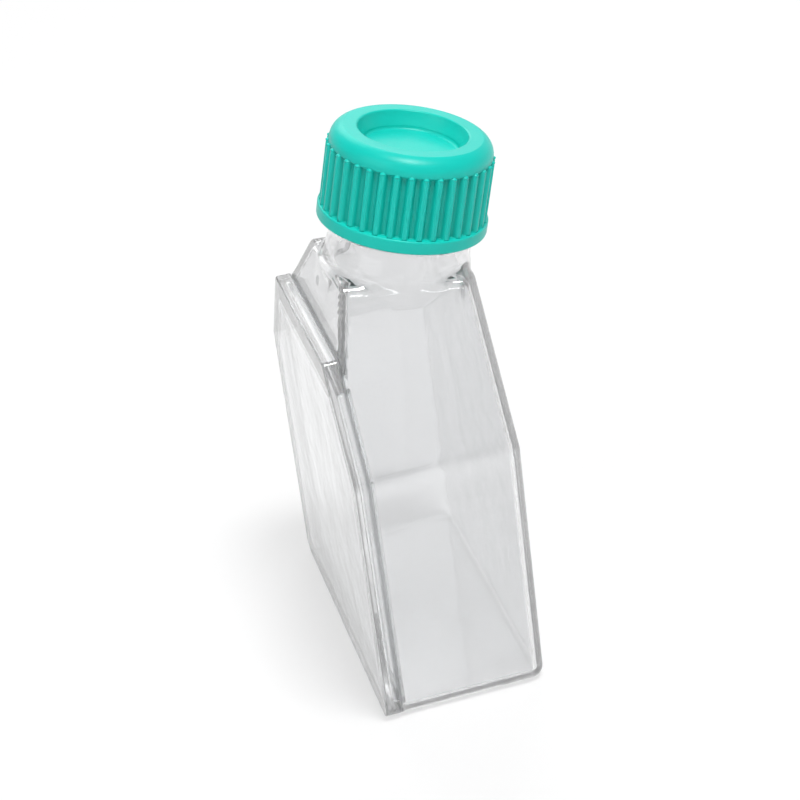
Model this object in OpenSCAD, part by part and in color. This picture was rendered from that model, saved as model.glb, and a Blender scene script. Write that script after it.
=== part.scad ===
// Cell culture flask with 25 square centimetres of growth area.
// A clear tray with the growth surface is welded to a clear upper shell whose
// chamfered shoulders run up to a round, canted neck. One screw cap with a
// hollow plug closes the neck.
// The flask stands on its rear end: +Z runs from the rear end to the cap, +X
// points from the growth surface to the roof, and Y runs across the width.

/* [Body] */
// Width over the weld lip, along Y
body_width = 51; // [47:0.5:58]
// Thickness from the growth side to the roof, along X
body_thickness = 25; // [23:0.5:30]
// Height at which the straight narrow sides end and the shoulders begin
side_height = 41; // [32:0.5:50]
// Height of the platform that carries the neck, at the roof
platform_height = 61.7; // [56:0.1:76]
// Angle by which the platform rises towards the growth side
platform_tilt = 7; // [2:0.5:10]
// Width of the platform at the roof, along Y
platform_width = 20.6; // [20:0.2:24]
// Wall of the upper shell
wall = 1.3; // [1:0.1:1.6]
// Radius of the roof's long outer edges
edge_radius = 2; // [1.8:0.1:3]
// Radius of the roof's edges along the shoulders, a little softer than along the sides
shoulder_edge_radius = 2.2; // [1.8:0.1:3]
// Radius between the roof and the rear end
heel_radius = 1.8; // [1.7:0.1:2.6]
// Radius of the corners between the narrow sides and the rear end
rear_corner = 2.2; // [1.7:0.1:3]

/* [Growth tray] */
// Depth of the tray: the weld seam lies this far from the growth side
tray_depth = 2.4; // [2:0.1:3.4]
// Thickness of the plate with the growth surface
tray_floor = 1.2; // [1:0.1:1.5]
// How far the weld lip stands proud of the shell's sides
lip = 0.3; // [0.2:0.1:0.5]
// Height of the locating tongue above the seam
tongue_height = 0.9; // [0.6:0.1:1.2]
// Width of the locating tongue
tongue_width = 0.8; // [0.6:0.1:1.2]
// Gap between the tongue and the shell's wall
tongue_gap = 0.1; // [0.05:0.01:0.2]

/* [Ramp] */
// Height at which the growth surface ends and the ramp to the neck begins
ramp_start = 55.7; // [52:0.1:57.5]
// How far the ramp runs inwards between its start and the platform
ramp_run = 2.1; // [1.6:0.1:3.2]

/* [Neck] */
// Angle by which the neck leans towards the roof
neck_cant = 14; // [8:0.5:16]
// Offset of the neck's axis from mid thickness at the platform
neck_offset = 3.2; // [2:0.1:4.4]
// Bore of the neck
neck_bore = 16.4; // [14:0.1:17]
// Wall of the neck
neck_wall = 1.6; // [1.2:0.1:1.8]
// Step from the neck out to the collar below the cap
collar_step = 0.6; // [0.4:0.1:0.8]
// Distance along the neck from the platform to the collar's lower edge
root_length = 4.1; // [3:0.1:5]
// How far the neck's root bulges past the collar where it leaves the shoulders
root_bulge = 0.7; // [0.2:0.05:0.9]
// Height of the collar
collar_height = 1.4; // [1:0.1:2.4]
// Distance along the neck from the platform to the rim
neck_length = 18.7; // [17:0.1:24]
// Rounding of the rim's edges
rim_round = 0.5; // [0.3:0.1:0.6]

/* [Cap] */
// Wall of the cap's skirt at its lower band
skirt_wall = 1.7; // [1.3:0.1:2.2]
// Height of the lower band
cap_band = 2; // [1.4:0.1:3]
// Step from the band in to the crests of the ribs
cap_band_step = 0.25; // [0.1:0.05:0.4]
// Number of ribs round the grip
rib_count = 36; // [24:1:60]
// Depth of the grooves between the ribs
rib_depth = 0.45; // [0.2:0.05:0.6]
// Step from the floors of the grooves out to the plain crown above them
groove_end = 0.1; // [0.05:0.05:0.15]
// Thickness of the annular top that closes on the rim
cap_top = 1.5; // [1.2:0.1:2.2]
// Plain height between the ribs and the top face
cap_plain = 2.5; // [2.4:0.1:4]
// Height over which the crown curves in to the edge of the top face
cap_crown = 2.3; // [1.6:0.1:2.3]
// Radius of the crown's curve
cap_round = 2.4; // [2.4:0.1:4]
// Gap from the rim's plane down the neck to the skirt's lower edge
skirt_length = 12.4; // [11:0.1:12.8]
// Gap between the skirt and the collar's diameter
skirt_gap = 0.3; // [0.3:0.05:0.5]
// Chamfer inside the skirt, where it meets the top
skirt_chamfer = 0.6; // [0.3:0.1:0.8]
// Depth of the dish in the top, inside the plug
dish_depth = 2.6; // [2:0.1:5]
// Thickness of the dish's floor
dish_floor = 1.2; // [1:0.1:1.6]
// Thickness of the plug's wall
plug_wall = 1.1; // [0.9:0.1:1.4]
// Gap between the plug and the neck's bore
plug_gap = 0.3; // [0.3:0.05:0.5]
// Radius of the dish's upper edge
dish_round = 1.2; // [0.4:0.1:1.3]

/* [Hidden] */

$fn = 96;
// Overlap that lets one solid cut cleanly through the face of another
over = 1;
// How far the dish's chamfer is cut past the top face
dish_over = 0.1;
// Longer than any side of the flask
far = 4 * (body_width + platform_height);
// Distance along the neck below the platform at which its root is widest
root_sink = 1.4;
// Distance along the neck below the platform at which its root starts, inside the shoulders
neck_sink = 8;
// Depth below the platform at which the neck's passage starts, inside the cavity
bore_sink = 6;

growth_x = -body_thickness / 2;
roof_x = body_thickness / 2;
seam_x = growth_x + tray_depth;
shell_width = body_width - 2 * lip;
ramp_angle = atan2(ramp_run, platform_height - ramp_start);
shoulder_angle = atan2((shell_width - platform_width) / 2, platform_height - side_height);
neck_diameter = neck_bore + 2 * neck_wall;
collar_diameter = neck_diameter + 2 * collar_step;
root_diameter = collar_diameter + 2 * root_bulge;
neck_sink_diameter = collar_diameter - collar_step;
root_bore = collar_diameter - 2 * neck_wall;
collar_top = root_length + collar_height;
cap_height = skirt_length + cap_top;
skirt_bore = collar_diameter + 2 * skirt_gap;
cap_diameter = skirt_bore + 2 * skirt_wall;
grip_diameter = cap_diameter - 2 * cap_band_step;
crown_diameter = grip_diameter - 2 * (rib_depth - groove_end);
plug_diameter = neck_bore - 2 * plug_gap;
dish_diameter = plug_diameter - 2 * plug_wall;
clear_color = [0.86, 0.89, 0.9, 0.45];
tray_color = [0.8, 0.86, 0.88, 0.45];
cap_color = [0.1, 0.72, 0.64];

// Half width of the shell at a height on the shoulders
function shoulder_half(z) = shell_width / 2 - (z - side_height) * tan(shoulder_angle);

// Distance that a plane leaning by an angle moves sideways when it is inset
function lean_shift(inset, angle) = inset / cos(angle);

// Strip from x0 to x1 and from y = 0 inwards, with its corner at x1 and y = 0 rounded
module rounded_strip(x0, x1, depth, radius) {
    union() {
        translate([x0, radius])
            square([x1 - x0, depth - radius]);
        translate([x0, 0])
            square([x1 - x0 - radius, depth]);
        translate([x1 - radius, radius])
            circle(r = radius);
    }
}

// Section of the body across Z, with both roof edges rounded
module body_section(x0, x1, half_width, radius) {
    intersection() {
        translate([0, -half_width])
            rounded_strip(x0, x1, 2 * half_width, radius);
        mirror([0, 1])
            translate([0, -half_width])
                rounded_strip(x0, x1, 2 * half_width, radius);
    }
}

// Everything on the inner side of one leaning shoulder, with its roof edge rounded
module shoulder_side(x0, inset, radius) {
    translate([0, -shell_width / 2, side_height])
        rotate([-shoulder_angle, 0, 0])
            translate([0, inset, -far / 2])
                linear_extrude(far)
                    rounded_strip(x0, roof_x - inset, far, radius);
}

// Outline seen across the width: heel, ramp and platform
module body_profile(x0, inset, radius) {
    rise = tan(platform_tilt);
    shift = lean_shift(inset, ramp_angle);
    start = ramp_start + (x0 - seam_x - shift) / tan(ramp_angle);
    top = platform_height - lean_shift(inset, platform_tilt);
    // Where the ramp's line and the platform's line meet
    slope = tan(ramp_angle);
    x_top = (seam_x + shift + (top + roof_x * rise - ramp_start) * slope) / (1 + rise * slope);
    difference() {
        polygon([[x0, inset], [roof_x - inset, inset], [roof_x - inset, top + inset * rise],
                 [x_top, top + (roof_x - x_top) * rise], [x0, start]]);
        translate([roof_x - inset - radius, inset - over])
            square([radius + over, radius + over]);
    }
    translate([roof_x - inset - radius, inset + radius])
        circle(r = radius);
}

// Strip above a foot line, with both its lower corners rounded
module rear_outline(half, foot, radius) {
    union() {
        translate([-half, foot + radius])
            square([2 * half, far]);
        translate([radius - half, foot])
            square([2 * (half - radius), far]);
        for (side = [-1, 1])
            translate([side * (half - radius), foot + radius])
                circle(r = radius);
    }
}

// The body's convex form, inset on every side but the growth side
module body_form(x0, inset) {
    corner = edge_radius - inset;
    heel = heel_radius - inset;
    intersection() {
        rotate([90, 0, 0])
            linear_extrude(far, center = true)
                body_profile(x0, inset, heel);
        translate([0, 0, -over])
            linear_extrude(far)
                body_section(x0, roof_x - inset, shell_width / 2 - inset, corner);
        translate([x0, 0, 0])
            rotate([90, 0, 90])
                linear_extrude(far)
                    rear_outline(shell_width / 2 - inset, inset, rear_corner - inset);
        shoulder_side(x0, inset, shoulder_edge_radius - inset);
        mirror([0, 1, 0])
            shoulder_side(x0, inset, shoulder_edge_radius - inset);
    }
}

// Places its children on the neck's canted axis, a distance above the platform
module on_neck(along = 0) {
    translate([neck_offset, 0, platform_height])
        rotate([0, neck_cant, 0])
            translate([0, 0, along])
                children();
}

// Neck with its bulging root, its collar and its rounded rim, up to where the cap closes
module neck_tube() {
    on_neck()
        rotate_extrude()
            union() {
                polygon([[0, -neck_sink], [neck_sink_diameter / 2, -neck_sink],
                         [root_diameter / 2, -root_sink], [collar_diameter / 2, root_length],
                         [collar_diameter / 2, collar_top], [neck_diameter / 2, collar_top],
                         [neck_diameter / 2, neck_length - rim_round],
                         [neck_diameter / 2 - rim_round, neck_length - rim_round],
                         [neck_diameter / 2 - rim_round, neck_length], [0, neck_length]]);
                translate([neck_diameter / 2 - rim_round, neck_length - rim_round])
                    circle(r = rim_round, $fn = 32);
            }
}

// Passage through the neck, wider at its root than at its rim
module neck_passage() {
    on_neck(-bore_sink)
        rotate_extrude()
            polygon([[0, 0], [root_bore / 2, 0], [root_bore / 2, bore_sink],
                     [neck_bore / 2, bore_sink + root_length],
                     [neck_bore / 2, bore_sink + neck_length + over], [0, bore_sink + neck_length + over]]);
}

// Clear upper shell: roof, sides, rear end, shoulders, ramp and neck in one moulding
module upper_shell() {
    color(clear_color)
        difference() {
            union() {
                body_form(seam_x, 0);
                neck_tube();
            }
            body_form(seam_x - over, wall);
            neck_passage();
        }
}

// Outline of the growth side across X, inset from the shell's outline, and by more at its top
module growth_outline(inset, top_inset) {
    half = shell_width / 2 - inset;
    foot = max(inset, 0);
    knee = side_height - inset * tan(shoulder_angle / 2);
    top = ramp_start - top_inset;
    half_top = shoulder_half(top) - lean_shift(inset, shoulder_angle);
    intersection() {
        polygon([[-half, 0], [half, 0], [half, knee], [half_top, top], [-half_top, top], [-half, knee]]);
        rear_outline(half, foot, max(rear_corner - inset, rear_corner - wall));
    }
}

// Solid on the growth side between two depths, with that outline
module growth_slab(x0, x1, inset, top_inset) {
    translate([x0, 0, 0])
        rotate([90, 0, 90])
            linear_extrude(x1 - x0)
                growth_outline(inset, top_inset);
}

// Clear tray: growth plate, weld rim and the tongue that finds the shell
module growth_tray() {
    tongue = wall + tongue_gap;
    // The ramp's wall meets the seam at an angle, so its foot is wider there than the wall
    ramp_foot = wall / sin(ramp_angle) + tongue_gap;
    color(tray_color)
        difference() {
            union() {
                growth_slab(growth_x, seam_x, -lip, -lip);
                growth_slab(seam_x - over, seam_x + tongue_height, tongue, ramp_foot);
            }
            growth_slab(growth_x + tray_floor, seam_x + far, tongue + tongue_width, ramp_foot + tongue_width);
        }
}

// Outline of the grip: flat-topped ribs with sloping flanks
module grip_outline() {
    crest = grip_diameter / 2;
    root = crest - rib_depth;
    pitch = 360 / rib_count;
    // Share of the pitch at which each corner of a rib lies, and whether it is on the crest
    corners = [[0.05, 1], [0.5, 1], [0.65, 0], [0.9, 0]];
    polygon([for (rib = [0 : rib_count - 1]) for (c = corners)
        (c[1] * crest + (1 - c[1]) * root) * [cos((rib + c[0]) * pitch), sin((rib + c[0]) * pitch)]]);
}

// Plain crown above the ribs: upright wall that curves in to the edge of the top face
module cap_crown_form() {
    radius = crown_diameter / 2;
    rotate_extrude()
        intersection() {
            square([radius, cap_height]);
            union() {
                square([radius, cap_height - cap_crown]);
                square([radius - cap_round, cap_height]);
                translate([radius - cap_round, cap_height - cap_crown])
                    circle(r = cap_round);
            }
        }
}

// Room inside the cap for the neck: skirt's bore with a chamfered end, round the plug
module cap_room(plug_end) {
    difference() {
        union() {
            translate([0, 0, -over])
                cylinder(h = skirt_length + over - skirt_chamfer, d = skirt_bore);
            translate([0, 0, skirt_length - skirt_chamfer])
                cylinder(h = skirt_chamfer, d1 = skirt_bore, d2 = skirt_bore - 2 * skirt_chamfer);
        }
        translate([0, 0, plug_end])
            cylinder(h = cap_height - plug_end, d = plug_diameter);
    }
}

// Opaque screw cap: skirt with grip ribs, rounded crown and hollow plug in one moulding
module screw_cap() {
    color(cap_color)
        on_neck(neck_length - skirt_length)
            difference() {
                union() {
                    cylinder(h = cap_band, d = cap_diameter);
                    linear_extrude(cap_height - cap_plain)
                        grip_outline();
                    intersection() {
                        cap_crown_form();
                        translate([0, 0, cap_height - cap_plain])
                            cylinder(h = cap_plain, d = cap_diameter);
                    }
                }
                cap_room(cap_height - dish_depth - dish_floor);
                translate([0, 0, cap_height - dish_depth])
                    cylinder(h = dish_depth + over, d = dish_diameter);
                translate([0, 0, cap_height - dish_round])
                    cylinder(h = dish_round + dish_over, d1 = dish_diameter,
                             d2 = dish_diameter + 2 * (dish_round + dish_over));
            }
}

upper_shell();
growth_tray();
screw_cap();
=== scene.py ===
import bpy
import math
import numpy as np
from mathutils import Matrix, Vector


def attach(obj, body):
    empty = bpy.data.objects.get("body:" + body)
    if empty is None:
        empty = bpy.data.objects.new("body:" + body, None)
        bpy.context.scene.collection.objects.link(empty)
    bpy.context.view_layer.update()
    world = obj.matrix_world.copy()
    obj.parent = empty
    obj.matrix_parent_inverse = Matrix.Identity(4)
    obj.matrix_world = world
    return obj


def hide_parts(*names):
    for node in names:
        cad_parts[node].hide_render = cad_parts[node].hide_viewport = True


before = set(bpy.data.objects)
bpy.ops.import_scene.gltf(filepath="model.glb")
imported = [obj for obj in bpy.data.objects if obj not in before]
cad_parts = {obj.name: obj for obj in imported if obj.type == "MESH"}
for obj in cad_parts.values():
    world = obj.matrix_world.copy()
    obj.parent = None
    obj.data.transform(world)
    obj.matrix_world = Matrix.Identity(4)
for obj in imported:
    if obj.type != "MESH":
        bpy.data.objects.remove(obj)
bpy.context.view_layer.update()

# ---------------------------------------------------------------- sizes, in millimetres
MM = 0.001                      # one millimetre in metres
TINY = 1e-4                     # lifts a row of points off a flat end
Y_AXIS = np.array([0.0, 1.0, 0.0])

# Body: growth side at low x, roof at high x, rear end at z = 0
GROWTH_X, SEAM_X, ROOF_X = -12.5, -10.1, 12.5
SHELL_HALF, LIP = 25.2, 0.3
SIDE_TOP, RAMP_START, PLATFORM = 41.0, 55.7, 61.7
PLATFORM_TILT = math.radians(7.0)
PLATFORM_HALF, RAMP_RUN = 10.3, 2.1
WALL, TRAY_FLOOR = 1.3, 1.2
SHOULDER = math.atan2(SHELL_HALF - PLATFORM_HALF, PLATFORM - SIDE_TOP)
RAMP = math.atan2(RAMP_RUN, PLATFORM - RAMP_START)

# Edge radii of the body. Inside, the rear edge loses the whole wall and the roof's edge a share
# of it
EDGE_R, REAR_R, ROOF_SHARE = 2.0, 2.2, 0.85
BREAK_R, BREAK_R_INSIDE = 0.5, 0.9
PLATFORM_R, RAMP_R = 0.9, 0.45
FILLET, FILLET_INSIDE = 0.8, 1.2

# Neck: distances run along its canted axis from the platform
CANT = math.radians(14.0)
NECK_X = 3.2
NECK_AXIS = np.array([math.sin(CANT), 0.0, math.cos(CANT)])
NECK_SIDE = np.array([math.cos(CANT), 0.0, -math.sin(CANT)])
NECK_FOOT = np.array([NECK_X, 0.0, PLATFORM])
ROOT_LENGTH, COLLAR_TOP, NECK_LENGTH = 4.1, 5.5, 18.7
COLLAR_R, CORE_R, BORE_R = 10.4, 9.8, 8.2
ROOT_START, ROOT_START_R, ROOT_SWELL = -8.0, 10.1, 1.0
ROOT_WIDEST, ROOT_BULGE = -1.4, 0.7
BORE_START, FILLET_START = -6.0, -5.5
RIM_R = 0.5

# Threads of neck and cap
THREAD_TURNS, THREAD_PITCH, THREAD_FADE = 1.9, 3.2, 0.12
FLANK_OUTSIDE, FLANK_RUN = 0.35, 0.6
NECK_THREAD_START, NECK_THREAD_WIDTH, NECK_THREAD_HEIGHT = 9.2, 0.9, 0.55
CAP_THREAD_START, CAP_THREAD_WIDTH, CAP_THREAD_HEIGHT = 7.6, 0.7, 0.25

# Cap: heights run along the neck's axis from the skirt's lower edge
CAP_FOOT, CAP_HEIGHT, CAP_R = 6.3, 13.9, 12.4
CROWN_R, CROWN_CURVE, CROWN_START = 11.8, 2.4, 11.6
DISH_DEPTH = 2.6
SEAT, PLUG_END, SKIRT_BORE = 12.4, 10.1, 10.7
BAND_TOP = 2.03
RIBS, RIB_HEIGHT, RIB_END, GRIP_ROOT_R = 36, 0.78, 11.3, 11.35
RIB_TIP, RIB_FLANK, RIB_FLANK_RUN = 0.6, 0.37, 0.25
RIB_DROP = 0.45                 # how much lower a rib ends at its flanks
WALL_STEP = 0.45                # length over which the wall steps out at the ribs' ends


# ---------------------------------------------------------------- mesh helpers
def smooth(t):
    """A step from 0 to 1 with flat ends: t clamped to 0..1, then 3 t squared less 2 t cubed."""
    t = np.clip(t, 0.0, 1.0)
    return t * t * (3.0 - 2.0 * t)


def unit(v):
    """Each row vector divided by its own length."""
    return v / np.maximum(np.linalg.norm(v, axis=-1, keepdims=True), 1e-12)


def grid_quads(first, rows, cols):
    """Index quads of a grid of points stored row by row, whose last column joins the first."""
    i, j = np.meshgrid(np.arange(rows - 1), np.arange(cols), indexing="ij")
    k = (j + 1) % cols
    low, high = first + i * cols, first + (i + 1) * cols
    return np.stack([low + j, low + k, high + k, high + j], -1)


def grid_normals(p):
    """Normal of a closed grid surface: the cross product of its tangents along the columns and
    the rows."""
    along_row = np.roll(p, -1, 1) - np.roll(p, 1, 1)
    return unit(np.cross(along_row, np.gradient(p, axis=0)))


def turned_from(normals, p, row, inside):
    """The normals, or their opposites, whichever look away from an inside point on that row."""
    return normals * np.sign((normals[row] * (p[row] - inside)).sum(-1).mean())


def newell(points, face):
    """Unit normal of one flat polygon, as the sum of the cross products of its neighbouring
    corners."""
    p = points[np.asarray(face)]
    return unit(np.cross(p, np.roll(p, -1, 0)).sum(0))


def wound(points, face, way):
    """The face, or its corners run backwards, whichever makes its normal look that way."""
    return face if newell(points, face) @ np.asarray(way) > 0 else face[::-1]


def row_face(row, cols, first=0):
    """All points of one row of a grid as the corners of one polygon."""
    return list(range(first + row * cols, first + (row + 1) * cols))


def build_piece(name, points, smooth_quads, normals, flat_faces, material):
    """Makes a closed mesh object from points in millimetres. Smooth quads take the given point
    normals; flat faces take their own. A smooth quad that turns away from its normals is wound
    the other way."""
    q = np.concatenate([a.reshape(-1, 4) for a in smooth_quads])
    a, b, c, d = (points[q[:, k]] for k in range(4))
    facing = (np.cross(c - a, d - b) * normals[q].sum(1)).sum(-1)
    q[facing < 0] = q[facing < 0][:, ::-1]
    faces = q.tolist() + [list(map(int, f)) for f in flat_faces]
    me = bpy.data.meshes.new(name)
    me.from_pydata((points * MM).tolist(), [], faces)
    corner = [normals[q].reshape(-1, 3)]
    corner += [np.repeat(newell(points, f)[None], len(f), 0) for f in flat_faces]
    me.shade_smooth()
    me.update()
    me.normals_split_custom_set(np.concatenate(corner).tolist())
    me.materials.append(material)
    ob = bpy.data.objects.new(name, me)
    bpy.context.scene.collection.objects.link(ob)
    return ob


# ---------------------------------------------------------------- implicit form of the shell
def round_max(a, b, r):
    """Overlap of two solids with their edge rounded to radius r: the larger of their signed
    distances, held to minus r, plus the joint length of what each has over minus r."""
    corner = np.hypot(np.maximum(a + r, 0.0), np.maximum(b + r, 0.0))
    return np.minimum(np.maximum(a, b), -r) + corner


def root_radius(s):
    """Outer radius of the neck's root at distance s along the neck: it swells inside the
    shoulders, is widest where it leaves them, then draws in to the collar."""
    swelling = ROOT_START_R + ROOT_SWELL * smooth((s - ROOT_START) / (ROOT_WIDEST - ROOT_START))
    drawn_in = smooth((s - ROOT_WIDEST) / (ROOT_LENGTH - ROOT_WIDEST))
    return np.where(s < ROOT_WIDEST, swelling, COLLAR_R + ROOT_BULGE * (1.0 - drawn_in))


def bore_radius(s):
    """Inner radius of the neck at distance s: the root's wall is even, then the bore runs
    straight to the rim."""
    return BORE_R + ROOT_BULGE * (1.0 - smooth(s / ROOT_LENGTH))


def rim_distance(y, z, inset):
    """Signed distance across the growth side's outline, drawn in by inset: side and shoulder
    with the break between them rounded, then the rear end."""
    side = y - SHELL_HALF
    shoulder = side * math.cos(SHOULDER) + (z - SIDE_TOP) * math.sin(SHOULDER)
    f = round_max(side + inset, shoulder + inset, BREAK_R if inset == 0 else BREAK_R_INSIDE)
    return round_max(f, -z + inset, REAR_R - inset)


def body_distance(p, inset):
    """Signed distance from the body's form, drawn in by inset on every side but the growth
    side: the outline, then roof, platform and ramp, each joined by a rounded edge."""
    x, y, z = p[..., 0], np.abs(p[..., 1]), p[..., 2]
    roof = x - ROOF_X
    platform = (z - PLATFORM) * math.cos(PLATFORM_TILT) + roof * math.sin(PLATFORM_TILT)
    ramp = (SEAM_X - x) * math.cos(RAMP) + (z - RAMP_START) * math.sin(RAMP)
    f = round_max(rim_distance(y, z, inset), roof + inset, EDGE_R - ROOF_SHARE * inset)
    f = round_max(f, platform + inset, PLATFORM_R)
    f = round_max(f, ramp + inset, RAMP_R)
    return np.maximum(f, SEAM_X - x)


def shell_distance(p, inset):
    """Signed distance from the body joined to the neck's root, with a small fillet where they
    meet."""
    rel = p - NECK_FOOT
    s = rel @ NECK_AXIS
    radial = np.hypot(rel @ NECK_SIDE, rel[..., 1])
    if inset == 0:
        neck, fillet = np.maximum(radial - root_radius(s), ROOT_START - s), FILLET
    else:
        neck, fillet = np.maximum(radial - bore_radius(s), BORE_START - s), FILLET_INSIDE
    body = body_distance(p, inset)
    joined = -round_max(-body, -neck, fillet)
    return np.where(s < FILLET_START, np.minimum(body, neck), joined)


def shell_gradient(p, inset):
    """Outward normal of that form, from its differences along the three axes."""
    e = 1e-3
    g = [shell_distance(p + e * a, inset) - shell_distance(p - e * a, inset) for a in np.eye(3)]
    return unit(np.stack(g, -1))


def first_crossing(origin, direction, inset, reach=44.0, step=0.25, halvings=40):
    """Where rays leave the form: the first sign change in even steps, then halved many times."""
    hit = np.full(direction.shape[:-1], reach)
    open_ray = np.ones(direction.shape[:-1], bool)
    for k in range(1, int(reach / step) + 1):
        new = open_ray & (shell_distance(origin + direction * (k * step), inset) > 0)
        hit[new] = k * step
        open_ray &= ~new
    low, high = hit - step, hit.copy()
    for _ in range(halvings):
        mid = (low + high) / 2
        out = shell_distance(origin + direction * mid[..., None], inset) > 0
        high = np.where(out, mid, high)
        low = np.where(out, low, mid)
    return origin + direction * ((low + high) / 2)[..., None]


def half_width(z, inset, reach=40.0, halvings=50):
    """Half width of the body at height z where it meets the seam, found by halving."""
    low, high = np.zeros_like(z), np.full_like(z, reach)
    for _ in range(halvings):
        mid = (low + high) / 2
        out = rim_distance(mid, z, inset) > 0
        high = np.where(out, mid, high)
        low = np.where(out, low, mid)
    return (low + high) / 2


# Columns round a section: side, roof corner, roof, roof corner, side, growth side
SIDE_N, CORNER_N, ROOF_N, GROWTH_N = 20, 10, 44, 40
EDGE_COL = 2 * SIDE_N + 2 * CORNER_N + ROOF_N
COLS = EDGE_COL + GROWTH_N


def spread(n, ends=0.35):
    """n steps from 0 towards 1, closer together at both ends: t less a share of the sine of a
    whole turn of t."""
    t = np.arange(n) / n
    return (t - ends * np.sin(2 * np.pi * t) / (2 * np.pi))[None]


def section_targets(z, inset):
    """Points of a section at height z as one loop: along one side, round the roof's corner,
    over the roof, back down the other side, and along the growth side. Straight runs are spread
    between their ends, and corners are quarter circles."""
    h = half_width(z, inset)[:, None]
    roof, r = ROOF_X - inset, EDGE_R - ROOF_SHARE * inset
    side, over, across = spread(SIDE_N), spread(ROOF_N), np.arange(GROWTH_N)[None] / GROWTH_N
    bend = (np.arange(CORNER_N) / CORNER_N * np.pi / 2)[None]
    bend_back = ((CORNER_N - np.arange(CORNER_N)) / CORNER_N * np.pi / 2)[None]
    depth = roof - r - SEAM_X
    x = [SEAM_X + depth * side, roof - r + r * np.sin(bend), roof + 0 * over,
         roof - r + r * np.sin(bend_back), roof - r - depth * side, SEAM_X + 0 * across]
    y = [-h + 0 * side, -(h - r + r * np.cos(bend)), (h - r) * (2 * over - 1),
         h - r + r * np.cos(bend_back), h + 0 * side, h - 2 * h * across]
    return np.concatenate(x, 1) + 0 * h, np.concatenate(y, 1)


def circle_angles():
    """Even steps round the neck, placed so that the growth side's middle column looks straight
    at the growth side."""
    middle = EDGE_COL + GROWTH_N / 2
    return (np.arange(COLS) - middle) * 2 * np.pi / COLS + np.pi


# Changes in the rows of the body towards the neck: where each begins against the platform, and
# the height that it takes
TIPPING, ROUNDING, CENTRING = (-5.8, 7.5), (-4.3, 6.0), (-9.3, 8.0)
FAN_X, LAST_SECTION = 1.2, PLATFORM - 2.3


def rise(above, start, length):
    """A smooth step from 0 to 1 that begins at a height and takes a length."""
    return smooth((above - start) / length)


def body_rows(z, inset):
    """Section rows of the shell's skin and their normals. Each row is a fan of rays from a point
    on the centre line, aimed at the section's points. From the ramp upwards the fan tips over to
    lie square to the canted neck, its centre moves to the neck's axis, and its rays turn from
    the section's points to even steps round the circle."""
    above = z - PLATFORM
    tip = CANT * rise(above, *TIPPING)
    to_circle = rise(above, *ROUNDING)
    cx = FAN_X + (NECK_X + above * math.tan(CANT) - FAN_X) * rise(above, *CENTRING)
    x, y = section_targets(np.minimum(z, LAST_SECTION), inset)
    angle = np.unwrap(np.arctan2(y, x - cx[:, None]), axis=1)
    angle = angle + (circle_angles()[None] - angle) * to_circle[:, None]
    tipped = np.stack([np.cos(tip), 0 * tip, -np.sin(tip)], -1)[:, None, :]
    direction = np.cos(angle)[..., None] * tipped + np.sin(angle)[..., None] * Y_AXIS
    origin = np.stack([cx, 0 * cx, z], -1)[:, None, :] * np.ones((1, COLS, 1))
    p = first_crossing(origin, direction, inset)
    return p, shell_gradient(p, inset)


# ---------------------------------------------------------------- neck
def thread_height(s, angle, start, width):
    """Height of a screw thread, 0 to 1: a flat-topped ridge on a helix that fades in and out
    over an eighth of a turn."""
    lead = (angle / (2 * np.pi)) % 1.0
    best = np.zeros(np.broadcast(s, angle).shape)
    for k in range(int(THREAD_TURNS) + 2):
        along = lead + k
        off_crest = np.abs(s - (start + THREAD_PITCH * along))
        fade = smooth(along / THREAD_FADE) * smooth((THREAD_TURNS - along) / THREAD_FADE)
        best = np.maximum(best, fade * smooth((width / 2 + FLANK_OUTSIDE - off_crest) / FLANK_RUN))
    return best


def around_neck(s, radius, angle):
    """Points at distance s along the neck's axis and that radius from it: the foot, plus s times
    the axis, plus the radius times cosine and sine of the angle along the neck's two sides."""
    ring = np.cos(angle)[..., None] * NECK_SIDE + np.sin(angle)[..., None] * Y_AXIS
    return NECK_FOOT + s[..., None] * NECK_AXIS + radius[..., None] * ring


def neck_profile():
    """Outer line of the neck above its root as distances along it and radii: collar, chamfer,
    threaded wall, and a rounded rim that turns into the bore. The last value is the number of
    rows on the outside."""
    wall_top = NECK_LENGTH - RIM_R
    out, over = np.linspace(0.1, np.pi / 2, 6), np.linspace(0.0, np.pi / 2, 6)
    wall = np.linspace(COLLAR_TOP + 0.45, wall_top - 0.05, 76)
    bore = np.linspace(wall_top - 0.4, ROOT_LENGTH + 0.2, 22)
    s = [np.linspace(ROOT_LENGTH + 0.15, COLLAR_TOP - 0.3, 6),
         np.linspace(COLLAR_TOP - 0.2, COLLAR_TOP + 0.3, 5), wall,
         wall_top + RIM_R * np.sin(out), wall_top + RIM_R * np.cos(over), bore]
    r = [np.full(6, COLLAR_R), COLLAR_R - (COLLAR_R - CORE_R) * smooth(np.linspace(0.1, 1, 5)),
         np.full(76, CORE_R), CORE_R - RIM_R + RIM_R * np.cos(out),
         BORE_R + RIM_R - RIM_R * np.sin(over), np.full(22, BORE_R)]
    return np.concatenate(s), np.concatenate(r), sum(len(a) for a in s[:4])


def neck_rows():
    """The neck's skin and its normals: the profile turned about the neck's axis, with the
    thread's ridge added to its outer wall."""
    s, r, outside = neck_profile()
    angle = circle_angles()[None]
    ridge = thread_height(s[:, None], angle, NECK_THREAD_START, NECK_THREAD_WIDTH)
    ridge[outside:] = 0.0
    p = around_neck(s[:, None], r[:, None] + NECK_THREAD_HEIGHT * ridge, angle)
    return p, turned_from(grid_normals(p), p, 0, NECK_FOOT + s[0] * NECK_AXIS)


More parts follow.
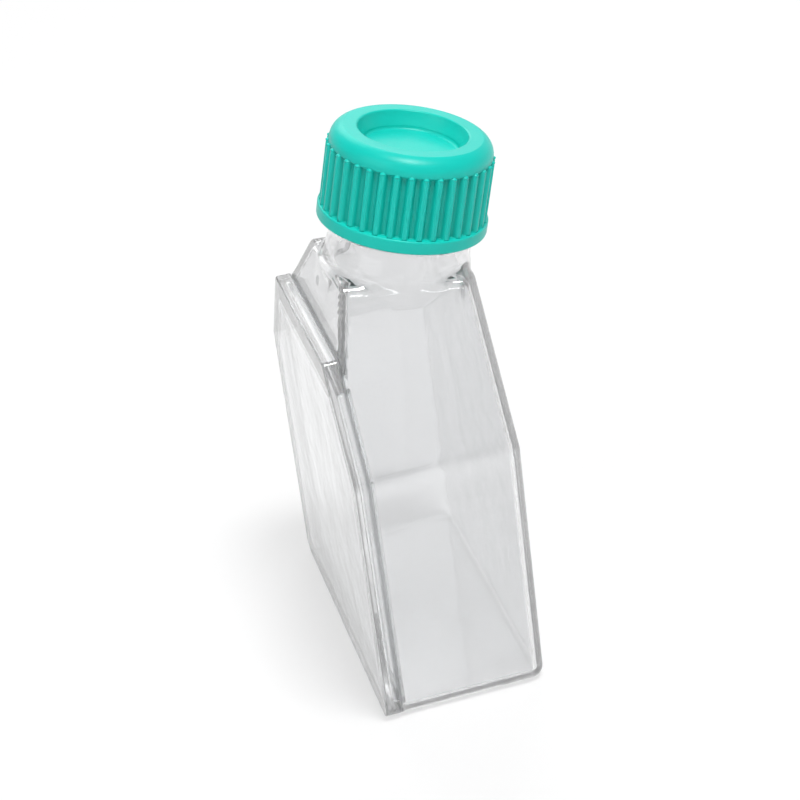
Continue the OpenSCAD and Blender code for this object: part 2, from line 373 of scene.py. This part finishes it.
def shell_levels():
    """Heights of the shell's rows: outside below and above the ramp's foot, then the same two
    inside. Rows lie close round the rear edge, the shoulders' break and the neck's root. Below
    the ramp's foot each inner row belongs to an outer one, so that the weld face joins them."""
    heel_rows, bend = 9, 0.6
    curve = 1 - np.cos(np.linspace(0, np.pi / 2, heel_rows))
    lift = TINY * (np.arange(heel_rows) == 0)
    bend_low, bend_high = SIDE_TOP - bend, SIDE_TOP + bend
    ramp_in = RAMP_START - WALL / math.sin(RAMP)
    top = PLATFORM + (ROOT_LENGTH - 0.2) * math.cos(CANT)
    heel = REAR_R * curve + lift
    heel_in = WALL + (REAR_R - WALL) * curve + lift
    rest = np.concatenate([np.linspace(3.6, bend_low - bend, 24),
                           np.linspace(bend_low, bend_high, 9),
                           np.linspace(bend_high + 2 * bend, RAMP_START - 1.1, 9),
                           [RAMP_START - 0.6, RAMP_START]])
    rest_in = np.interp(rest, [heel[-1], bend_low, bend_high, RAMP_START],
                        [heel_in[-1], bend_low - 0.6, bend_high - 0.2, ramp_in])
    high = [np.linspace(RAMP_START + 0.3, PLATFORM - 1.9, 12), np.linspace(PLATFORM - 1.8, top, 54)]
    high_in = [np.linspace(ramp_in + 0.5, PLATFORM - 3.3, 12), np.linspace(PLATFORM - 3.1, top, 38)]
    return (np.concatenate([heel, rest]), np.concatenate(high),
            np.concatenate([heel_in, rest_in]), np.concatenate(high_in))


def weld_faces(rows, hole_rows):
    """The flat face round the opening on the growth side, where the tray is welded on: quads
    between the outer and the inner skin, up both sides and along both ends."""
    outer = np.arange(hole_rows) * COLS
    inner = (rows - 1 - np.arange(hole_rows)) * COLS
    faces = []
    for col in (0, EDGE_COL):
        for i in range(hole_rows - 1):
            faces.append([outer[i] + col, outer[i + 1] + col, inner[i + 1] + col, inner[i] + col])
    for i in (0, hole_rows - 1):
        for j in range(EDGE_COL, COLS):
            k = (j + 1) % COLS
            faces.append([outer[i] + j, outer[i] + k, inner[i] + k, inner[i] + j])
    return faces


def make_shell(material):
    """The upper shell as one closed skin: rear end, outside of the body, neck, rim, bore, inside
    of the body, and the flat weld face round the opening on the growth side."""
    low, high, low_in, high_in = shell_levels()
    body, body_normals = body_rows(np.concatenate([low, high]), 0.0)
    body[0, :, 2] = 0.0
    neck, neck_normals = neck_rows()
    inside, inside_normals = body_rows(np.concatenate([low_in, high_in])[::-1], WALL)
    inside[-1, :, 2] = WALL
    points = np.concatenate([body, neck, inside]).reshape(-1, 3)
    normals = np.concatenate([body_normals, neck_normals, -inside_normals]).reshape(-1, 3)
    rows, hole_rows = len(points) // COLS, len(low)
    quads = grid_quads(0, rows, COLS)
    keep = np.ones(quads.shape[:2], bool)
    keep[:hole_rows - 1, EDGE_COL:] = False
    keep[rows - hole_rows:, EDGE_COL:] = False
    flats = [wound(points, f, (-1, 0, 0)) for f in weld_faces(rows, hole_rows)]
    flats.append(wound(points, row_face(0, COLS), (0, 0, -1)))
    flats.append(wound(points, row_face(rows - 1, COLS), (0, 0, 1)))
    ob = build_piece("upper_shell_skin", points, [quads[keep]], normals, flats, material)
    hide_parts("upper_shell")
    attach(ob, "flask")


# ---------------------------------------------------------------- growth tray
def growth_corners(inset, top_inset):
    """Corners of the growth side's outline drawn in by inset, and by top_inset along its top:
    rear corners, shoulder breaks and ramp corners."""
    half = SHELL_HALF - inset
    foot = max(inset, 0.0)
    knee = SIDE_TOP - inset * math.tan(SHOULDER / 2)
    top = RAMP_START - top_inset
    half_top = SHELL_HALF - (top - SIDE_TOP) * math.tan(SHOULDER) - inset / math.cos(SHOULDER)
    return np.array([(-half, foot), (half, foot), (half, knee), (half_top, top), (-half_top, top),
                     (-half, knee)])


def outline(inset, top_inset, radii, arc_points=9, side_points=12):
    """Outline of the growth side drawn in by inset, its corners rounded by the given radii: each
    corner becomes an arc between the two sides' tangent points, and each side gets even points
    between its arcs."""
    c = growth_corners(inset, top_inset)
    before = unit(np.roll(c, 1, 0) - c)
    after = unit(np.roll(c, -1, 0) - c)
    half_angle = np.arccos(np.clip((before * after).sum(-1), -1, 1)) / 2
    r = np.asarray(radii, float)
    back = (r / np.tan(half_angle))[:, None]
    centre = c + unit(before + after) * (r / np.sin(half_angle))[:, None]
    start, end = c + before * back, c + after * back
    a0 = np.arctan2(*(start - centre).T[::-1])
    a1 = np.arctan2(*(end - centre).T[::-1])
    sweep = (a1 - a0 + np.pi) % (2 * np.pi) - np.pi
    a = a0[:, None] + sweep[:, None] * np.linspace(0, 1, arc_points)[None]
    bends = centre[:, None] + r[:, None, None] * np.stack([np.cos(a), np.sin(a)], -1)
    t = np.linspace(0, 1, side_points + 2)[1:-1][None, :, None]
    straight = end[:, None] + (np.roll(start, -1, 0) - end)[:, None] * t
    return np.concatenate([bends, straight], 1).reshape(-1, 2)


def quarter(x, d, r, turns):
    """A quarter circle of depth and inset: x plus r times one less the sine, d plus the size of
    r times one less the cosine."""
    return [(x + r * (1 - math.sin(t)), d + abs(r) * (1 - math.cos(t))) for t in turns]


def tray_profile():
    """Depth and inset of the tray's surface. From the middle of the growth face it runs out to a
    rounded edge, up the weld lip, in along the seam, over the locating tongue and down to the
    growth surface inside."""
    tongue, tongue_width = WALL + 0.1, 0.8
    inner, floor = tongue + tongue_width, GROWTH_X + TRAY_FLOOR
    seam = SEAM_X - 0.02
    turns = np.linspace(0, np.pi / 2, 6)
    rim = [(GROWTH_X, 1.0), *quarter(GROWTH_X, -LIP, 0.35, turns[::-1]),
           (GROWTH_X + 0.6, -LIP), (SEAM_X - 0.5, -LIP), *quarter(SEAM_X, -LIP, -0.2, turns)]
    return [(min(x, seam), d) for x, d in rim] + [
        (seam, 0.4), (seam, tongue - 0.15), (seam + 0.15, tongue), (SEAM_X + 0.7, tongue),
        (SEAM_X + 0.82, tongue + 0.06), (SEAM_X + 0.9, tongue + 0.2), (SEAM_X + 0.9, inner - 0.2),
        (SEAM_X + 0.82, inner - 0.06), (SEAM_X + 0.7, inner), (floor + 0.6, inner),
        *quarter(floor, inner, 0.5, turns), (floor, inner + 1.6)]


def make_tray(material):
    """The growth tray: its profile of depth and inset carried round the growth side's outline.
    Corners tighten as the outline is drawn in, and the ramp's end of it draws in further, by the
    wall's thickness measured along the growth side."""
    ramp_r, rim_row, middle = 1.0, 9, (-11.5, 0, 26.0)
    ramp_extra = WALL / math.sin(RAMP) - WALL
    rows = []
    for x, d in tray_profile():
        rear, knee = max(REAR_R - d, 0.7), max(2.0 - d, 0.5)
        top = d + ramp_extra * min(max((d - 0.4) / 0.6, 0.0), 1.0)
        loop = outline(d, top, [rear, rear, knee, ramp_r, ramp_r, knee])
        rows.append(np.concatenate([np.full((len(loop), 1), x), loop], 1))
    p = np.array(rows)
    n_rows, n_cols = p.shape[:2]
    points = p.reshape(-1, 3)
    normals = turned_from(grid_normals(p), p, rim_row, np.array(middle))
    normals[0], normals[-1] = (-1, 0, 0), (1, 0, 0)
    flats = [wound(points, row_face(0, n_cols), (-1, 0, 0)),
             wound(points, row_face(n_rows - 1, n_cols), (1, 0, 0))]
    ob = build_piece("growth_tray_skin", points, [grid_quads(0, n_rows, n_cols)],
                     normals.reshape(-1, 3), flats, material)
    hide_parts("growth_tray")
    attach(ob, "flask")


# ---------------------------------------------------------------- screw cap
def arc(radius, height, r, a0, a1, n):
    """Points on a circle of radius r about a radius and height, from angle a0 to a1 in degrees."""
    a = np.radians(np.linspace(a0, a1, n))
    return np.stack([radius + r * np.cos(a), height + r * np.sin(a)], -1)


def cap_outside():
    """Outer line of the cap as radius and height, from the skirt's lower edge to the middle of
    the dish. The wall steps out a little where the ribs end, then the crown curves in to a crisp
    edge round the flat ring."""
    top, dish, crest = CAP_HEIGHT, CAP_HEIGHT - DISH_DEPTH, CROWN_START
    rise = np.concatenate([np.linspace(2.2, RIB_END - 1.5, 16),
                           np.linspace(RIB_END - 1.4, crest - 0.05, 26)])
    step = smooth((rise - RIB_END + WALL_STEP) / WALL_STEP)
    crown_end = math.degrees(math.asin((top - crest) / CROWN_CURVE)) - 0.6
    parts = [
        arc(CAP_R - 0.3, 0.3, 0.3, -90, 0, 5),
        [(CAP_R, 0.8), (CAP_R, 1.5)],
        arc(CAP_R - 0.25, 1.75, 0.25, 0, 80, 4),
        [(CAP_R - 0.45, 2.02), (GRIP_ROOT_R + 0.05, 2.06)],
        np.stack([GRIP_ROOT_R + (CROWN_R - GRIP_ROOT_R) * step, rise], -1),
        arc(CROWN_R - CROWN_CURVE, crest, CROWN_CURVE, 0, crown_end, 18),
        [(10.05, top), (9.98, top), (9.1, top), (8.4, top)],
        arc(8.25, top - 0.35, 0.35, 90, 150, 6),
        [(7.75, top - 0.75), (7.4, top - 1.3), (7.15, top - 1.8)],
        arc(6.45, dish + 0.55, 0.55, 8, -90, 8),
        [(5.5, dish), (3.5, dish), (1.5, dish)],
    ]
    return np.concatenate([np.asarray(a, float) for a in parts])


def cap_inside():
    """Inner line of the cap as radius and height, from the skirt's lower edge to the middle of
    the plug's end, and the rows of it that are the skirt's bore."""
    edge = [(10.95, 0.0), (10.75, 0.25), (SKIRT_BORE, 0.6)]
    bore = np.stack([np.full(40, SKIRT_BORE), np.linspace(0.9, SEAT - 0.9, 40)], -1)
    parts = [
        edge, bore,
        [(10.68, SEAT - 0.6), (10.4, SEAT - 0.28), (10.1, SEAT - 0.02), (9.4, SEAT), (8.3, SEAT)],
        arc(8.2, SEAT - 0.3, 0.3, 90, 180, 4),
        [(7.9, SEAT - 0.8), (7.9, SEAT - 1.3)],
        arc(7.2, PLUG_END + 0.7, 0.7, 0, -90, 6),
        [(6.0, PLUG_END), (3.5, PLUG_END), (1.5, PLUG_END)],
    ]
    line = np.concatenate([np.asarray(a, float) for a in parts])
    return line, slice(len(edge), len(edge) + len(bore))


def rib_relief(angle, height):
    """How far the grip ribs stand out. A rib is its height times a flat-topped wave round the
    cap, and its end falls away as a quarter circle, lower towards its flanks."""
    side = np.abs((angle * RIBS / (2 * np.pi)) % 1.0 - 0.5)
    crest = smooth((RIB_FLANK - side) / RIB_FLANK_RUN)
    end = RIB_END - RIB_DROP * (side / RIB_FLANK) ** 2
    left = np.clip((end - height) / RIB_TIP, 0, 1)
    return RIB_HEIGHT * np.sqrt(1 - (1 - left) ** 2) * (height > BAND_TOP) * crest[None]


def make_cap(material):
    """The screw cap. Outside: band, grip ribs with rounded ends under a plain crown, and a
    dished top. Inside: skirt with its thread, seat and plug. Both are a line of radius and
    height turned about the neck's axis, and they meet round the skirt's lower edge."""
    per_rib, per_rib_inside = 15, 3
    ratio = per_rib // per_rib_inside
    n_out, n_in = RIBS * per_rib, RIBS * per_rib_inside
    a_out, a_in = (np.arange(n) / n * 2 * np.pi for n in (n_out, n_in))
    line, (line_in, bore) = cap_outside(), cap_inside()
    radius, height = line[:, :1], line[:, 1:]
    skin = around_neck(CAP_FOOT + height, radius + rib_relief(a_out, height), a_out)
    radius, height = line_in[:, :1], CAP_FOOT + line_in[:, 1:]
    ridge = np.zeros((len(line_in), n_in))
    ridge[bore] = thread_height(height[bore], a_in[None], CAP_THREAD_START, CAP_THREAD_WIDTH)
    lining = around_neck(height, radius - CAP_THREAD_HEIGHT * ridge, a_in)
    middle = NECK_FOOT + (CAP_FOOT + CAP_HEIGHT / 2) * NECK_AXIS
    band_row, bore_row = 6, 20
    skin_normals = turned_from(grid_normals(skin), skin, band_row, middle)
    lining_normals = -turned_from(grid_normals(lining), lining, bore_row, middle)
    points = np.concatenate([skin.reshape(-1, 3), lining.reshape(-1, 3)])
    normals = np.concatenate([skin_normals.reshape(-1, 3), lining_normals.reshape(-1, 3)])
    start = len(skin) * n_out
    quads = [grid_quads(0, len(skin), n_out), grid_quads(start, len(lining), n_in)]
    down = -NECK_AXIS
    flats = []
    for k in range(n_in):
        outer = [(k * ratio + m) % n_out for m in range(ratio + 1)]
        flats.append(wound(points, outer + [start + (k + 1) % n_in, start + k], down))
    flats.append(wound(points, row_face(len(skin) - 1, n_out), NECK_AXIS))
    flats.append(wound(points, row_face(len(lining) - 1, n_in, start), down))
    ob = build_piece("screw_cap_skin", points, quads, normals, flats, material)
    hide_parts("screw_cap")
    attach(ob, "cap")


# ---------------------------------------------------------------- materials
WHITE = (1, 1, 1, 1)
SHELL_TINT, TRAY_TINT = (0.88, 0.885, 0.892, 1), (0.88, 0.89, 0.896, 1)
WELD_GREY = (0.42, 0.43, 0.44, 1)
# Painted shade: the darker teal painted on the floors of the grooves between the cap's ribs
TEAL_GROOVE_PAINTED_SHADE = (0.002, 0.44, 0.37, 1)
TEAL_LOW, TEAL_HIGH = (0.004, 0.53, 0.45, 1), (0.008, 0.6, 0.51, 1)
FLOOR_GREY, CEILING_GREY = (0.86, 0.86, 0.86, 1), (0.2, 0.205, 0.21, 1)


def add_node(tree, kind, inputs, **settings):
    """Adds a shader node of that kind with its own settings. Each input, by name or number, is
    given a constant, or another node's output that is linked to it."""
    node = tree.nodes.new("ShaderNode" + kind)
    for key, value in settings.items():
        setattr(node, key, value)
    for key, value in inputs.items():
        if isinstance(value, bpy.types.NodeSocket):
            tree.links.new(value, node.inputs[key])
        else:
            node.inputs[key].default_value = value
    return node


def calculate(tree, operation, *inputs):
    """A number worked out from others by one operation."""
    return add_node(tree, "Math", dict(enumerate(inputs)), operation=operation).outputs["Value"]


def noise(tree, place, scale, detail):
    """Cloudy noise of that scale over the piece's own coordinates."""
    inputs = {"Vector": place, "Scale": scale, "Detail": detail}
    return add_node(tree, "TexNoise", inputs).outputs["Fac"]


def between(tree, value, low, high):
    """A number from 0 to 1 turned into one from low to high."""
    inputs = {"Value": value, "To Min": low, "To Max": high}
    return add_node(tree, "MapRange", inputs).outputs["Result"]


def soft_step(tree, value, start, end, before=0.0, after=1.0):
    """A smooth step between two lengths in millimetres, from before to after."""
    inputs = {"Value": value, "From Min": start * MM, "From Max": end * MM,
              "To Min": before, "To Max": after}
    return add_node(tree, "MapRange", inputs, interpolation_type="SMOOTHSTEP").outputs["Result"]


def blend_colours(tree, share, first, second):
    """Two colours mixed by that share of the second."""
    inputs = {"A": first, "B": second, "Factor": share}
    return add_node(tree, "Mix", inputs, data_type="RGBA").outputs["Result"]


def colour_ramp(tree, value, first, last, end=1.0):
    """Colours running from the first at 0 to the last at the end."""
    node = add_node(tree, "ValToRGB", {"Fac": value})
    stops = node.color_ramp.elements
    stops[0].color, stops[1].color, stops[1].position = first, last, end
    return node.outputs["Color"]


def grain_bump(tree, height, strength, distance):
    """Surface normals tipped by the slope of a height."""
    inputs = {"Strength": strength, "Distance": distance, "Height": height}
    return add_node(tree, "Bump", inputs).outputs["Normal"]


def show(tree, kind, inputs, output="OutputMaterial"):
    """Ends a node tree: adds the shader that it shows, and the output."""
    shader = add_node(tree, kind, inputs)
    add_node(tree, output, {"Surface": shader.outputs[0]})


def new_material(name):
    """A material with an empty node tree."""
    m = bpy.data.materials.new(name)
    m.use_nodes = True
    m.node_tree.nodes.clear()
    return m, m.node_tree


def clear_plastic(name, tint):
    """Clear moulded polystyrene: a refracting shader with a faint waviness in its polish. Within
    a third of a millimetre of the plane of the weld the plastic is darker and hazy, as fused
    polystyrene is."""
    m, tree = new_material(name)
    place = add_node(tree, "TexCoord", {}).outputs["Object"]
    cloud = noise(tree, place, 140.0, 2.0)
    across = add_node(tree, "SeparateXYZ", {"Vector": place}).outputs["X"]
    from_weld = calculate(tree, "ABSOLUTE", calculate(tree, "ADD", across, -SEAM_X * MM))
    fused = soft_step(tree, from_weld, 0.2, 0.4, 1.0, 0.0)
    polish = between(tree, cloud, 0.02, 0.07)
    show(tree, "BsdfPrincipled", {
        "Base Color": blend_colours(tree, fused, tint, WELD_GREY),
        "Roughness": calculate(tree, "MULTIPLY_ADD", fused, 0.25, polish),
        "Normal": grain_bump(tree, cloud, 0.03, 0.001),
        "Transmission Weight": 1.0, "IOR": 1.59, "Alpha": 0.88,
    })
    return m


def cap_plastic():
    """Satin teal polyethylene: slow colour variation, fine grain, and soft gloss. The floors of the
    grooves between the ribs are painted a deeper teal, as painted shade for the shadow that falls
    in the grooves: the tone follows how far a point lies from the grooves' radius round the neck's
    axis, and is plain above the ribs."""
    m, tree = new_material("teal_polyethylene")
    foot, axis = tuple(NECK_FOOT * MM), tuple(NECK_AXIS)

    def vector(operation, result, *inputs):
        """One operation on vectors, and the one of its results that is named."""
        node = add_node(tree, "VectorMath", dict(enumerate(inputs)), operation=operation)
        return node.outputs[result]

    place = add_node(tree, "TexCoord", {}).outputs["Object"]
    slow, grain = noise(tree, place, 90.0, 3.0), noise(tree, place, 2600.0, 2.0)
    teal_tone = colour_ramp(tree, slow, TEAL_LOW, TEAL_HIGH)
    from_foot = vector("SUBTRACT", "Vector", place, foot)
    radius = vector("LENGTH", "Value", vector("CROSS_PRODUCT", "Vector", from_foot, axis))
    height = vector("DOT_PRODUCT", "Value", from_foot, axis)
    from_groove = calculate(tree, "SUBTRACT", radius, GRIP_ROOT_R * MM)
    crest = soft_step(tree, calculate(tree, "ABSOLUTE", from_groove), 0.1, 0.6)
    plain = soft_step(tree, height, CAP_FOOT + RIB_END - 0.5, CAP_FOOT + RIB_END)
    # Painted shade: the groove floors get the darker teal where shade falls between the ribs; the
    # plain teal's share is 1 on the crests and above the ribs
    unshaded_share = calculate(tree, "MAXIMUM", crest, plain)
    show(tree, "BsdfPrincipled", {
        "Base Color": blend_colours(tree, unshaded_share, TEAL_GROOVE_PAINTED_SHADE, teal_tone),
        "Roughness": between(tree, grain, 0.3, 0.42),
        "Normal": grain_bump(tree, grain, 0.06, 0.0002),
        "Specular IOR Level": 0.25, "Subsurface Weight": 0.06, "Subsurface Scale": 0.001,
        "Subsurface Radius": (0.3, 1.0, 0.8),
    })
    return m


# ---------------------------------------------------------------- studio
LAMP_AIM = Vector((0, 0, 0.04))


def light_paths(tree):
    """Two numbers that are 1 for some rays: those that the camera sends, and those that look
    through or reflect in a piece."""
    rays = add_node(tree, "LightPath", {}).outputs
    return rays["Is Camera Ray"], calculate(tree, "MAXIMUM", rays["Is Glossy Ray"],
                                            rays["Is Transmission Ray"])


def floor_material():
    """Pale floor that keeps the shadow: a diffuse surface, with a share of plain white added for
    the camera and for rays that look through or reflect in the plastic."""
    m, tree = new_material("pale_floor")
    diffuse = add_node(tree, "BsdfDiffuse", {"Color": FLOOR_GREY})
    glow = add_node(tree, "Emission", {"Color": WHITE, "Strength": 1.0})
    seen = calculate(tree, "MAXIMUM", *light_paths(tree))
    show(tree, "MixShader", {"Fac": calculate(tree, "MULTIPLY", seen, 0.6),
                             1: diffuse.outputs["BSDF"], 2: glow.outputs["Emission"]})
    return m


def make_floor():
    """A wide disc just under the flask, made as rings round its middle: radius times cosine and
    sine of even angles."""
    drop, steps, radii = 0.00002, 96, np.array([0.02, 0.2, 0.6, 1.5, 4.0])[:, None]
    a = np.arange(steps) / steps * 2 * np.pi
    p = np.stack([radii * np.cos(a), radii * np.sin(a), 0 * radii * a - drop], -1)
    quads = grid_quads(0, len(radii), steps).reshape(-1, 4)
    me = bpy.data.meshes.new("floor")
    me.from_pydata(p.reshape(-1, 3).tolist(), [], quads.tolist() + [row_face(0, steps)])
    me.materials.append(floor_material())
    ob = bpy.data.objects.new("floor", me)
    bpy.context.scene.collection.objects.link(ob)


def make_world():
    """Grey studio light for the object; the plastic sees a white room that is darker overhead,
    and the camera sees plain white."""
    world = bpy.data.worlds.new("studio")
    bpy.context.scene.world = world
    world.use_nodes = True
    tree = world.node_tree
    tree.nodes.clear()

    def background(colour, strength):
        """Light of one colour or run of colours from all round."""
        return add_node(tree, "Background", {"Color": colour, "Strength": strength}).outputs[0]

    around = add_node(tree, "TexCoord", {}).outputs["Generated"]
    up = add_node(tree, "SeparateXYZ", {"Vector": around}).outputs["Z"]
    room = background(colour_ramp(tree, up, WHITE, CEILING_GREY, 0.55), 1.0)
    camera_ray, plastic_ray = light_paths(tree)
    lit = add_node(tree, "MixShader", {"Fac": plastic_ray, 1: background(WHITE, 0.2), 2: room})
    show(tree, "MixShader", {"Fac": camera_ray, 1: lit.outputs["Shader"],
                             2: background(WHITE, 1.0)}, "OutputWorld")


def make_lamp(name, place, size, power):
    """A square soft lamp of that size, aimed at the flask's middle."""
    data = bpy.data.lights.new(name, "AREA")
    data.shape = "SQUARE"
    data.size = size
    data.energy = power
    ob = bpy.data.objects.new(name, data)
    ob.location = place
    ob.rotation_mode = "QUATERNION"
    ob.rotation_quaternion = (LAMP_AIM - Vector(place)).to_track_quat("-Z", "Y")
    bpy.context.scene.collection.objects.link(ob)


def make_camera():
    """The camera stands in front of a narrow side, a little towards the growth side, looking
    down at the flask's middle, and is rolled so that upright edges lean to the left."""
    azimuth, elevation, roll = (math.radians(a) for a in (-11.61, 30.46, -7.64))
    distance, aim = 0.36, Vector((0.001, 0.0, 0.0385))
    back = Vector((math.sin(azimuth) * math.cos(elevation),
                   -math.cos(azimuth) * math.cos(elevation), math.sin(elevation)))
    data = bpy.data.cameras.new("camera")
    data.lens = 108.0
    data.sensor_width = 36.0
    data.clip_start, data.clip_end = 0.01, 20.0
    ob = bpy.data.objects.new("camera", data)
    turn = (-back).to_track_quat("-Z", "Y").to_matrix() @ Matrix.Rotation(roll, 3, "Z")
    ob.matrix_world = Matrix.Translation(aim + back * distance) @ turn.to_4x4()
    bpy.context.scene.collection.objects.link(ob)
    bpy.context.scene.camera = ob


shell_plastic = clear_plastic("clear_polystyrene_shell", SHELL_TINT)
tray_plastic = clear_plastic("clear_polystyrene_tray", TRAY_TINT)
make_shell(shell_plastic)
make_tray(tray_plastic)
make_cap(cap_plastic())
make_floor()
make_world()
make_lamp("key", (0.15, -0.27, 1.0), 0.3, 8.8)
make_lamp("fill", (-0.6, -0.35, 0.45), 0.6, 1.5)
make_lamp("back", (0.1, 0.7, 0.6), 0.6, 3.0)
make_camera()

bpy.context.scene.view_settings.view_transform = "Standard"
